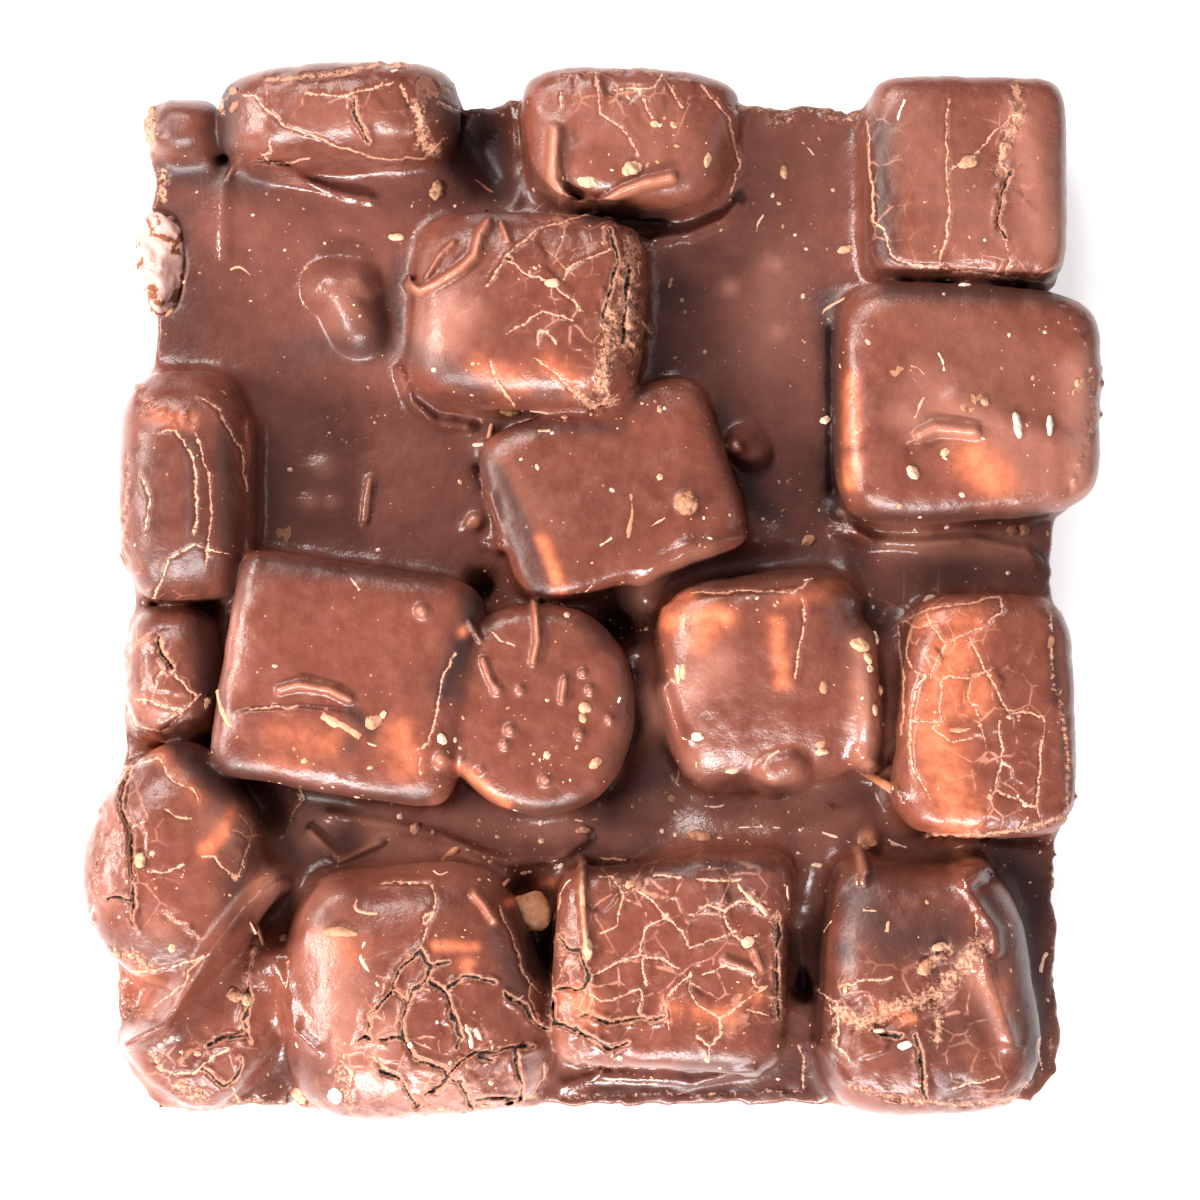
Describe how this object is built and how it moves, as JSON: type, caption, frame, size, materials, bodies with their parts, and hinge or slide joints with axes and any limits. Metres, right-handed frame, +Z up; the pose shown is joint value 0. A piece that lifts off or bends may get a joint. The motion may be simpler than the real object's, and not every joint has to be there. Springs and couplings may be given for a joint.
{
  "type": "rocky road slab",
  "caption": "Square slab of milk chocolate rocky road with coated marshmallows, nuts and coconut, broken at its edges.",
  "frame": {"origin": "middle of the bounding box, on the flat underside", "axes": "+Z up out of the slab, +Y to its back edge, +X to its right"},
  "size_m": [0.1204, 0.1258, 0.0272],
  "materials": {
    "chocolate": "set milk chocolate, satin, slightly rippled",
    "coat": "milk chocolate coat, satin, crackled where it bent",
    "marshmallow": "torn marshmallow, soft and matte",
    "nut": "broken roasted nut, dry and matte"
  },
  "bodies": {
    "root": {"bed": "chocolate", "nub_top_left": "coat", "marshmallow_top_left": "coat", "marshmallow_top_middle": "coat", "marshmallow_top_right": "coat", "marshmallow_upper_middle": "coat", "marshmallow_right": "coat", "marshmallow_left": "coat", "marshmallow_middle": "coat", "nub_left": "coat", "marshmallow_lower_left": "coat", "marshmallow_on_end": "coat", "marshmallow_lower_right": "coat", "marshmallow_right_edge": "coat", "marshmallow_left_edge": "coat", "plate_bottom_left": "coat", "marshmallow_bottom_left": "coat", "marshmallow_bottom_middle": "coat", "marshmallow_bottom_right": "coat", "bare_marshmallow": "marshmallow", "nut_corner": "nut", "nut_hollow": "nut", "nut_front_edge": "nut"}
  },
  "joints": []
}
